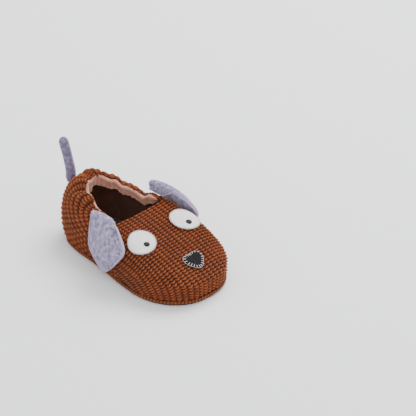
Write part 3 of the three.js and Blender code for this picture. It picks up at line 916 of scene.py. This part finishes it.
def fibre_group():
    """Loose fibres and brushed patches: outputs a fine fibre height and a broad patch mask."""
    done = bpy.data.node_groups.get("fibre surface")
    if done:
        return done
    group, given, result = new_group(
        "fibre surface", ("Vector", "Fibre Scale", "Patch Scale"), ("Fibres", "Patches"))
    place, patch_scale = given["Vector"], given["Patch Scale"]
    warp = add_node(group, "ShaderNodeTexNoise", {"Vector": place, "Scale": patch_scale, "Detail": 2.0})
    moved = add_node(group, "ShaderNodeVectorMath", {0: warp.outputs["Color"], 1: (0.004, 0.004, 0.004)},
                     operation="MULTIPLY")
    vector = add_node(group, "ShaderNodeVectorMath", {0: place, 1: moved.outputs[0]}, operation="ADD")
    fine = noise(group, vector.outputs[0], given["Fibre Scale"], 6.0, 0.7)
    broad = noise(group, place, patch_scale, 4.0, 0.62)
    set_inputs(group, result, {"Fibres": fine, "Patches": ramp(group, broad, 0.3, 0.7)})
    return group


def yarn_group():
    """Twisted plies of a yarn along a rib: outputs the plies' height."""
    done = bpy.data.node_groups.get("yarn twist")
    if done:
        return done
    group, given, result = new_group("yarn twist", ("Weave", "Plies", "Slant"), ("Height",))
    parts = add_node(group, "ShaderNodeSeparateXYZ", {0: given["Weave"]})
    across = maths(group, "SUBTRACT", maths(group, "FRACT", parts.outputs[0]), 0.5)
    lean = maths(group, "MULTIPLY", maths(group, "ABSOLUTE", across), given["Slant"])
    phase = maths(group, "MULTIPLY", maths(group, "ADD", parts.outputs[1], lean), given["Plies"])
    wave = maths(group, "SINE", maths(group, "MULTIPLY", phase, TURN))
    set_inputs(group, result, {"Height": ramp(group, wave, -1.0, 1.0)})
    return group


class Cloth:
    """A material under construction: object coordinates, the weave's UV map and a Principled shader."""

    def __init__(self, name, roughness, sheen=0.0, sheen_roughness=0.5, sheen_tint=(1, 1, 1, 1)):
        self.material = bpy.data.materials.new(name)
        self.material.use_nodes = True
        self.tree = self.material.node_tree
        self.shader = set_inputs(self.tree, self.tree.nodes["Principled BSDF"], {
            "Roughness": roughness, "Sheen Weight": sheen, "Sheen Roughness": sheen_roughness,
            "Sheen Tint": sheen_tint, "Specular IOR Level": 0.25})
        self.place = self.tree.nodes.new("ShaderNodeTexCoord").outputs["Object"]
        self.weave = add_node(self.tree, "ShaderNodeUVMap", uv_map="weave").outputs["UV"]

    def attribute(self, name):
        """A value stored on the mesh."""
        return add_node(self.tree, "ShaderNodeAttribute", attribute_name=name).outputs["Fac"]

    def fibres(self, scale, patches):
        """Fibre height and patch mask."""
        inputs = {"Vector": self.place, "Fibre Scale": scale, "Patch Scale": patches}
        outputs = add_node(self.tree, "ShaderNodeGroup", inputs, node_tree=fibre_group()).outputs
        return outputs["Fibres"], outputs["Patches"]

    def plies(self, weave, plies, slant):
        """Height of a yarn's plies."""
        inputs = {"Weave": weave, "Plies": plies, "Slant": slant}
        return add_node(self.tree, "ShaderNodeGroup", inputs, node_tree=yarn_group()).outputs["Height"]

    def mix(self, factor, a, b):
        """Two colours mixed."""
        return mix_colour(self.tree, factor, a, b)

    def times(self, a, b):
        """Two values multiplied."""
        return maths(self.tree, "MULTIPLY", a, b)

    def plus(self, a, b):
        """Two values added."""
        return maths(self.tree, "ADD", a, b)

    def ramp(self, value, low, high):
        """0 at low and 1 at high."""
        return ramp(self.tree, value, low, high)

    def finish(self, colour, height, strength, distance):
        """Gives the shader its colour and its bump."""
        bump = add_node(self.tree, "ShaderNodeBump",
                        {"Height": height, "Strength": strength, "Distance": distance})
        set_inputs(self.tree, self.shader, {"Base Color": colour, "Normal": bump.outputs["Normal"]})
        return self.material


def knit_material(name, colours):
    """Yarn, with painted shade in its grooves and a painted highlight of light fibres on the tops of its
    loops.
    """
    cloth = Cloth(name, 0.92, 0.12, 0.5, (0.9, 0.5, 0.3, 1))
    loop_height = cloth.attribute("loop_height")
    fibres, patches = cloth.fibres(2600.0, 90.0)
    plies = cloth.plies(cloth.weave, 4.0, 2.2)
    base = cloth.mix(patches, colours.knit_dark, colours.knit)
    # Painted highlight: light fibres are mixed in only on the tops of the loops.
    lit = cloth.mix(cloth.times(fibres, cloth.ramp(loop_height, 0.45, 0.95)), base, colours.knit_painted_highlight)
    # Painted shade: the yarn darkens towards the groove colour where its loops sink low.
    colour = cloth.mix(cloth.ramp(loop_height, 0.52, 0.08), lit, colours.knit_painted_groove_shade)
    return cloth.finish(colour, cloth.plus(cloth.times(plies, 0.6), cloth.times(fibres, 0.7)), 0.7, 0.00035)


def velour_material(name, low, middle, high, seam_painted_highlight):
    """Brushed velour, mottled by its nap, with a painted highlight along its seams."""
    cloth = Cloth(name, 0.95, 0.55, 0.4, (0.86, 0.84, 0.95, 1))
    fibres, patches = cloth.fibres(3200.0, 110.0)
    nap = noise(cloth.tree, cloth.place, 420.0, 4.0, 0.65)
    base = cloth.mix(patches, low, middle)
    brushed = cloth.mix(cloth.ramp(nap, 0.42, 0.66), base, high)
    # Painted highlight: the velour is lightened towards its high colour along the seams.
    colour = cloth.mix(cloth.times(cloth.attribute("seam"), seam_painted_highlight), brushed, high)
    return cloth.finish(colour, cloth.plus(fibres, cloth.times(nap, 1.2)), 0.55, 0.0004)


def felt_material(name, low, high, sheen=0.25):
    """Matted felt."""
    cloth = Cloth(name, 0.95, sheen, 0.6)
    fibres, patches = cloth.fibres(2400.0, 260.0)
    mottled = cloth.mix(patches, low, high)
    return cloth.finish(cloth.mix(cloth.ramp(fibres, 0.35, 0.75), mottled, high), fibres, 0.6, 0.00035)


def thread_material(name, low, high, sheen=0.2):
    """Twisted thread, with painted shade between its plies."""
    cloth = Cloth(name, 0.55, sheen)
    plies = cloth.plies(cloth.weave, 3.0, 0.0)
    fibres, _ = cloth.fibres(3000.0, 400.0)
    # Painted shade: the colour is darker between the plies and lighter on their crests.
    return cloth.finish(cloth.mix(plies, low, high), cloth.plus(plies, fibres), 0.5, 0.00015)


def jersey_material(name, low, high, ribs=2.2):
    """Fine knitted jersey: rows of tiny loops along the weave."""
    cloth = Cloth(name, 0.85, 0.3)
    fibres, patches = cloth.fibres(2800.0, 160.0)
    scaled = add_node(cloth.tree, "ShaderNodeVectorMath", {0: cloth.weave, 1: (ribs, ribs, 1)},
                      operation="MULTIPLY").outputs[0]
    loops = cloth.plies(scaled, 1.0, 0.9)
    # Painted highlight: the crests of the tiny loops are lighter.
    colour = cloth.mix(cloth.times(loops, 0.35), cloth.mix(patches, low, high), high)
    return cloth.finish(colour, cloth.plus(loops, cloth.times(fibres, 0.5)), 0.45, 0.0002)


def plain_cloth(name, low, high, fibre_scale, patch_scale, strength):
    """A fabric or a filling with no weave that shows."""
    cloth = Cloth(name, 0.95, 0.15)
    fibres, patches = cloth.fibres(fibre_scale, patch_scale)
    colour = cloth.mix(cloth.times(fibres, 0.4), cloth.mix(patches, low, high), high)
    return cloth.finish(colour, fibres, strength, 0.0004)


def floor_material():
    """A smooth, matt studio floor."""
    cloth = Cloth("studio floor", 0.6)
    return cloth.finish(colours().floor, noise(cloth.tree, cloth.place, 3.0, 2.0), 0.01, 0.0001)


# ------------------------------------------------------------------ settings a user would change
def length(name, description, default):
    """A number that isn't negative."""
    return bpy.props.FloatProperty(name=name, description=description, default=default, min=0.0)


def number(name, description, default):
    """A count."""
    return bpy.props.IntProperty(name=name, description=description, default=default, min=3)


def colour(name, description, display):
    """A colour, given as eight-bit display values."""
    return bpy.props.FloatVectorProperty(name=name, description=description, default=linear(display),
                                         size=4, subtype="COLOR", min=0.0, max=1.0)


class BootieSizes(bpy.types.PropertyGroup):
    """Sizes of the fabrics, in millimetres"""
    rib_pitch: length("Rib pitch", "Distance from one knitted rib to the next", 3.5)
    course_pitch: length("Course pitch", "Length of one loop along a rib", 2.02)
    relief: length("Relief", "Height of a loop above its groove", 1.55)
    sink: length("Sink", "Share of the relief that lies below the surface", 0.62)
    unevenness: length("Unevenness", "How far the ribs wander", 0.4)
    curl_reach: length("Curl reach", "Distance from the tail where the heel's ribs start to curl up", 41.0)
    curl_rise: length("Curl rise", "Height above the rim of the middle of that curl", 3.5)
    pucker: length("Pucker", "Height of the lumps along the gathered rim", 1.1)
    band_wall: length("Band wall", "Thickness of the jersey band", 0.42)
    band_bag: length("Band channel", "Radius of the channel that holds the elastic", 1.3)
    band_hem: length("Band hem", "Depth of the band below the elastic", 5.2)
    ear_puff: length("Ear puff", "How far an ear's panel swells", 2.3)
    ear_tip: length("Ear tip", "Share of an ear's length where its tip starts to round", 0.52)
    sole_edge: length("Sole edge", "Rounding of the suede's edge", 0.3)
    nose_stitches: number("Nose stitches", "Stitches round the nose", 20)
    eye_stitches: number("Eye stitches", "Stitches round an eye", 58)


class BootieColours(bpy.types.PropertyGroup):
    """Colours of the fabrics"""
    knit: colour("Knit", "Middle tone of the knit", (118, 50, 18))
    knit_dark: colour("Knit dark", "Darker patches of the knit", (84, 31, 9))
    # The painted highlight on the tops of the knit's loops.
    knit_painted_highlight: colour("Knit painted highlight", "Fibres that catch the light", (178, 100, 56))
    # The painted shade in the knit's grooves.
    knit_painted_groove_shade: colour("Knit painted groove shade", "Depth of the grooves", (32, 9, 3))
    velour_low: colour("Velour low", "Velour brushed one way", (96, 86, 112))
    velour: colour("Velour", "Middle tone of the velour", (134, 124, 150))
    # This colour also gives the painted highlight along the ears' seams.
    velour_high: colour("Velour high", "Velour brushed to the light", (174, 164, 190))
    jersey_low: colour("Jersey low", "Shaded jersey", (178, 116, 92))
    jersey: colour("Jersey", "Jersey of the band", (210, 152, 128))
    inside_low: colour("Inside low", "Darker tone of the lining", (72, 42, 28))
    inside: colour("Inside", "Middle tone of the lining", (100, 62, 44))
    # This colour is also the painted shade between the plies of the white thread and the elastic.
    white_felt_low: colour("White felt low", "Shaded white felt", (216, 207, 202))
    white_felt: colour("White felt", "White felt", (242, 235, 231))
    black_felt_low: colour("Black felt low", "Darkest black felt", (5, 5, 6))
    black_felt: colour("Black felt", "Black felt", (15, 15, 17))
    suede_low: colour("Suede low", "Darker tone of the suede", (54, 36, 26))
    suede: colour("Suede", "Middle tone of the suede", (78, 54, 40))
    foam_low: colour("Foam low", "Shaded foam", (226, 222, 210))
    foam: colour("Foam", "Foam of the sole", (240, 238, 230))
    filling_low: colour("Filling low", "Shaded wadding", (232, 231, 229))
    filling: colour("Filling", "Wadding of the ears and the tail", (246, 246, 245))
    # The painted shade between the plies of the black thread.
    pupil_low: colour("Pupil low", "Darkest black thread", (4, 4, 5))
    pupil: colour("Pupil", "Black thread", (18, 18, 20))
    floor: colour("Floor", "Studio floor", (247, 247, 246))


def sizes():
    """The sizes in use."""
    return bpy.context.scene.bootie_sizes


def colours():
    """The colours in use."""
    return bpy.context.scene.bootie_colours


def sole_area():
    """Area inside the sole's outline, in square metres."""
    outline = sole_outline(400) * MM
    x, y = outline[:, 0], outline[:, 1]
    return abs(float(np.dot(x, np.roll(y, -1)) - np.dot(y, np.roll(x, -1)))) / 2


def panel_cut(seams):
    """Width, length and area of a wall panel laid flat, in metres."""
    station, height = np.meshgrid(np.linspace(*seams, 80), np.linspace(0, 1, 50), indexing="ij")
    grid = upper_point(station, height) * MM
    width = float(np.linalg.norm(np.diff(grid[:, 0], axis=0), axis=1).sum())
    depth = float(np.linalg.norm(np.diff(grid, axis=1), axis=-1).sum(axis=1).max())
    tiles = np.cross(grid[1:, :-1] - grid[:-1, :-1], grid[:-1, 1:] - grid[:-1, :-1])
    return (width, depth), float(np.linalg.norm(tiles, axis=-1).sum())


def wall_sheet(seams):
    """Works out a wall panel's flat size and area, and keeps neither; the vamp's panel is stretched over
    the toe, the heel's gathered.
    """
    flat, area = panel_cut(seams)


# ------------------------------------------------------------------ studio, in metres and degrees
FLOOR_HEIGHT = -0.0001
LAMPS = (("key_light", (0.75, 0.15, 0.95), 0.9, 17.5), ("fill_light", (-0.6, -0.9, 0.9), 1.4, 4.5))
LIT_SPOT = (0, 0, 0.02)
SKY_COLOUR, SKY_STRENGTH = (0.93, 0.95, 1.0, 1), 1.36
VIEW_AZIMUTH, VIEW_ELEVATION, VIEW_DISTANCE = -45, 32.3, 2.5
VIEW_WIDTH, VIEW_RIGHT, VIEW_UP = 0.2410197, 0.0374, 0.0306


# ------------------------------------------------------------------ operators
class BOOTIE_OT_knit(bpy.types.Operator):
    """Knit the vamp and the heel panel, and the band round the sole"""
    bl_idname = "bootie.knit"
    bl_label = "Knitted upper"

    def execute(self, context):
        knit, yarn = sizes(), knit_material("brown knit", colours())
        vamp = knit_panel("vamp_knit_loops", VAMP_SEAMS, vamp_weave, yarn, knit, 330, 236, no_pucker)
        finish_piece(vamp, "bootie", "vamp_knit")
        wall_sheet(VAMP_SEAMS)
        heel = knit_panel("heel_knit_loops", HEEL_SEAMS, heel_weave, yarn, knit, 470, 158, rim_pucker(knit),
                          border=0.02, valley=0.4)
        finish_piece(heel, "bootie", "heel_knit")
        wall_sheet(HEEL_SEAMS)
        rim = knit_rim("sole_rim_loops", yarn, knit)
        finish_piece(rim, "bootie", "sole_rim")
        edge_length = float(outline_run(sole_outline(400))[-1]) * MM
        return {"FINISHED"}


class BOOTIE_OT_inside(bpy.types.Operator):
    """Make the lining, the gathered jersey band and its elastic"""
    bl_idname = "bootie.inside"
    bl_label = "Lining and band"

    def execute(self, context):
        c, pucker = colours(), rim_pucker(sizes())
        fabric = plain_cloth("brown lining", c.inside_low, c.inside, 2200.0, 120.0, 0.6)
        walls = (("vamp_lining", VAMP_SEAMS, no_pucker), ("heel_lining", HEEL_SEAMS, pucker))
        for name, seams, fold in walls:
            piece = lining_panel(name + "_fabric", seams, fabric, fold)
            finish_piece(piece, "bootie", name)
            wall_sheet(seams)
        jersey = jersey_material("pink jersey", c.jersey_low, c.jersey)
        band = gathered_band("topline_band", jersey, sizes(), pucker)
        finish_piece(band, "bootie", "topline_casing")
        start = CASING_END + ELASTIC_INSET
        line = casing_line(np.linspace(start, ROUND - start, 240), pucker)[1]
        braid = thread_material("white elastic", c.white_felt_low, c.white_felt)
        elastic = make_piece("topline_elastic_braid", braid, *tube(line, ELASTIC_RADIUS, 14))
        finish_piece(elastic, "bootie", "topline_elastic")
        return {"FINISHED"}


class BOOTIE_OT_sole(bpy.types.Operator):
    """Make the suede sole, the foam and the insole"""
    bl_idname = "bootie.sole"
    bl_label = "Sole"

    def execute(self, context):
        c = colours()
        leather = plain_cloth("dark suede", c.suede_low, c.suede, 1500.0, 60.0, 0.8)
        suede = suede_sole("outsole_suede", leather, sizes())
        finish_piece(suede, "bootie", "outsole")
        sole_area()
        foam = pad("sole_foam_pad", plain_cloth("white foam", c.foam_low, c.foam, 900.0, 300.0, 0.8),
                   INSOLE_INSET + 0.2, FOAM_LOW[2] + 0.1, FOAM_HIGH[2] - 0.05, 0.0, 0.5)
        finish_piece(foam, "bootie", "sole_foam")
        insole = pad("insole_pad", plain_cloth("brown insole", c.inside_low, c.inside, 2200.0, 150.0, 0.6),
                     INSOLE_INSET, INSOLE_LOW[2] + 0.02, INSOLE_HIGH[2] + 0.3, 0.5, 0.6)
        finish_piece(insole, "bootie", "insole_cover")
        return {"FINISHED"}


class BOOTIE_OT_eyes(bpy.types.Operator):
    """Make the felt eyes, the stitches round them and the embroidered pupils"""
    bl_idname = "bootie.eyes"
    bl_label = "Eyes"

    def execute(self, context):
        c = colours()
        felt = felt_material("white felt", c.white_felt_low, c.white_felt)
        thread = thread_material("white thread", c.white_felt_low, c.white_felt)
        black = thread_material("black thread", c.pupil_low, c.pupil, 0.02)
        for side, sign in (("left", 1), ("right", -1)):
            place = on_vamp(sign * EYE_X, EYE_Y)
            outline = round_patch(EYE_RADIUS, EYE_DRAWN, math.radians(90 + 45 * sign))
            disc = felt_disc(outline, place, PATCH_LIFT, PATCH_THICKNESS, 0.25, seed=5 + sign)
            eye = make_piece(side + "_eye_felt", felt, *disc)
            finish_piece(eye, "bootie", side + "_eye")
            stitches = edge_stitches(outline, place, sizes().eye_stitches, 0.75, 0.25, 0.8)
            ring = make_piece(side + "_eye_threads", thread, *gather(stitches))
            finish_piece(ring, "bootie", side + "_eye_stitching")
            centre = on_vamp(sign * (EYE_X - PUPIL_INWARD), EYE_Y - PUPIL_FORWARD)
            dot = satin_dot(centre, PATCH_TOP + 0.1, PUPIL_RADIUS)
            pupil = make_piece(side + "_pupil_threads", black, *dot)
            finish_piece(pupil, "bootie", side + "_pupil")
        return {"FINISHED"}


class BOOTIE_OT_nose(bpy.types.Operator):
    """Make the felt nose and the blanket stitch round it"""
    bl_idname = "bootie.nose"
    bl_label = "Nose"

    def execute(self, context):
        c = colours()
        place = on_vamp(0, NOSE_Y)
        felt = felt_material("black felt", c.black_felt_low, c.black_felt, 0.03)
        disc = felt_disc(nose_radius, place, PATCH_LIFT, PATCH_THICKNESS, 0.3, seed=9)
        nose = make_piece("nose_felt", felt, *disc)
        finish_piece(nose, "bootie", "nose")
        stitches = edge_stitches(nose_radius, place, sizes().nose_stitches, 1.7, 0.12, 0.7)
        stitches.append(edge_thread(nose_radius, place, PATCH_LIFT + 0.45, 0.09, 0.08))
        thread = thread_material("white blanket thread", c.white_felt_low, c.white_felt)
        ring = make_piece("nose_threads", thread, *gather(stitches))
        finish_piece(ring, "bootie", "nose_stitching")
        return {"FINISHED"}


class BOOTIE_OT_ears(bpy.types.Operator):
    """Make both padded velour ears"""
    bl_idname = "bootie.ears"
    bl_label = "Ears"

    def execute(self, context):
        c = colours()
        # 0.8 is the strength of the painted highlight along the ears' seams.
        velour = velour_material("lilac velour", c.velour_low, c.velour, c.velour_high, 0.8)
        filling = plain_cloth("ear wadding", c.filling_low, c.filling, 1500.0, 200.0, 0.6)
        for side in ("left", "right"):
            body = side + "_ear"
            for face, outward in (("front", 1.0), ("back", -1.0)):
                panel = ear_panel(f"{body}_{face}_velour", side, outward, velour, sizes())
                finish_piece(panel, body, f"{body}_{face}")
            wadding = ear_filling(body + "_wadding_fill", side, filling, sizes())
            finish_piece(wadding, body, body + "_wadding")
        return {"FINISHED"}


class BOOTIE_OT_tail(bpy.types.Operator):
    """Make the stuffed velour tail"""
    bl_idname = "bootie.tail"
    bl_label = "Tail"

    def execute(self, context):
        c = colours()
        # 0.3 is the strength of the painted highlight along the tail's seam.
        velour = velour_material("tail velour", c.velour_low, c.velour_low, c.velour, 0.3)
        filling = plain_cloth("tail stuffing", c.filling_low, c.filling, 1500.0, 200.0, 0.6)
        cover = tail_tube("tail_velour", velour, TAIL_RADIUS, 0.0, 1.0, 0.2)
        finish_piece(cover, "tail", "tail_cover")
        stuffing = tail_tube("tail_stuffing_fill", filling, STUFFING_RADIUS, 0.02, 0.95, 0.0, 60, 32)
        finish_piece(stuffing, "tail", "tail_stuffing")
        return {"FINISHED"}


class BOOTIE_OT_stage(bpy.types.Operator):
    """Set a pale floor, soft light and the camera"""
    bl_idname = "bootie.stage"
    bl_label = "Studio"

    def execute(self, context):
        deselect()
        bpy.ops.mesh.primitive_plane_add(size=8.0, location=(0, 0, 0))
        floor = context.object
        floor.name = "studio_floor"
        floor.data.transform(Matrix.Translation((0, 0, FLOOR_HEIGHT)))
        floor.data.materials.append(floor_material())
        for lamp in LAMPS:
            self.add_lamp(context, *lamp)
        world = bpy.data.worlds.new("studio")
        world.use_nodes = True
        set_inputs(world.node_tree, world.node_tree.nodes["Background"], {0: SKY_COLOUR, 1: SKY_STRENGTH})
        context.scene.world = world
        self.add_camera(context)
        return {"FINISHED"}

    def add_lamp(self, context, name, place, size, energy):
        """A round soft lamp that points at the bootie."""
        data = bpy.data.lights.new(name, "AREA")
        data.shape, data.size, data.energy = "DISK", size, energy
        lamp = bpy.data.objects.new(name, data)
        lamp.location = place
        lamp.rotation_euler = (Vector(LIT_SPOT) - Vector(place)).to_track_quat("-Z", "Y").to_euler()
        context.scene.collection.objects.link(lamp)

    def add_camera(self, context):
        """A camera to one side of the toe and above, square to the middle of its view."""
        azimuth, elevation = math.radians(VIEW_AZIMUTH), math.radians(VIEW_ELEVATION)
        right = Vector((math.cos(azimuth), math.sin(azimuth), 0))
        back = Vector((math.sin(azimuth) * math.cos(elevation), -math.cos(azimuth) * math.cos(elevation),
                       math.sin(elevation)))
        target = right * VIEW_RIGHT + back.cross(right) * VIEW_UP
        data = bpy.data.cameras.new("camera")
        data.sensor_width = 36.0
        data.lens = data.sensor_width * VIEW_DISTANCE / VIEW_WIDTH
        data.clip_start = 0.05
        camera = bpy.data.objects.new("camera", data)
        camera.location = target + back * VIEW_DISTANCE
        camera.rotation_euler = (-back).to_track_quat("-Z", "Y").to_euler()
        context.scene.collection.objects.link(camera)
        context.scene.camera = camera


OPERATORS = (BOOTIE_OT_stage, BOOTIE_OT_sole, BOOTIE_OT_knit, BOOTIE_OT_inside, BOOTIE_OT_eyes,
             BOOTIE_OT_nose, BOOTIE_OT_ears, BOOTIE_OT_tail)


class VIEW3D_PT_bootie(bpy.types.Panel):
    """Sizes, colours and the steps that build the bootie"""
    bl_label = "Bootie"
    bl_space_type = "VIEW_3D"
    bl_region_type = "UI"
    bl_category = "Bootie"

    def draw(self, context):
        for group in (context.scene.bootie_sizes, context.scene.bootie_colours):
            for name in group.__annotations__:
                self.layout.prop(group, name)
        for operator in OPERATORS:
            self.layout.operator(operator.bl_idname)


CLASSES = (BootieSizes, BootieColours, *OPERATORS, VIEW3D_PT_bootie)


def register():
    """Adds the classes and their settings to Blender."""
    for cls in CLASSES:
        bpy.utils.register_class(cls)
    bpy.types.Scene.bootie_sizes = bpy.props.PointerProperty(type=BootieSizes)
    bpy.types.Scene.bootie_colours = bpy.props.PointerProperty(type=BootieColours)


def unregister():
    """Takes them away again."""
    del bpy.types.Scene.bootie_sizes
    del bpy.types.Scene.bootie_colours
    for cls in reversed(CLASSES):
        bpy.utils.unregister_class(cls)


def main():
    """Builds the bootie."""
    register()
    bpy.ops.bootie.stage()
    bpy.ops.bootie.sole()
    bpy.ops.bootie.knit()
    bpy.ops.bootie.inside()
    bpy.ops.bootie.eyes()
    bpy.ops.bootie.nose()
    bpy.ops.bootie.ears()
    bpy.ops.bootie.tail()


if __name__ == "__main__":
    main()
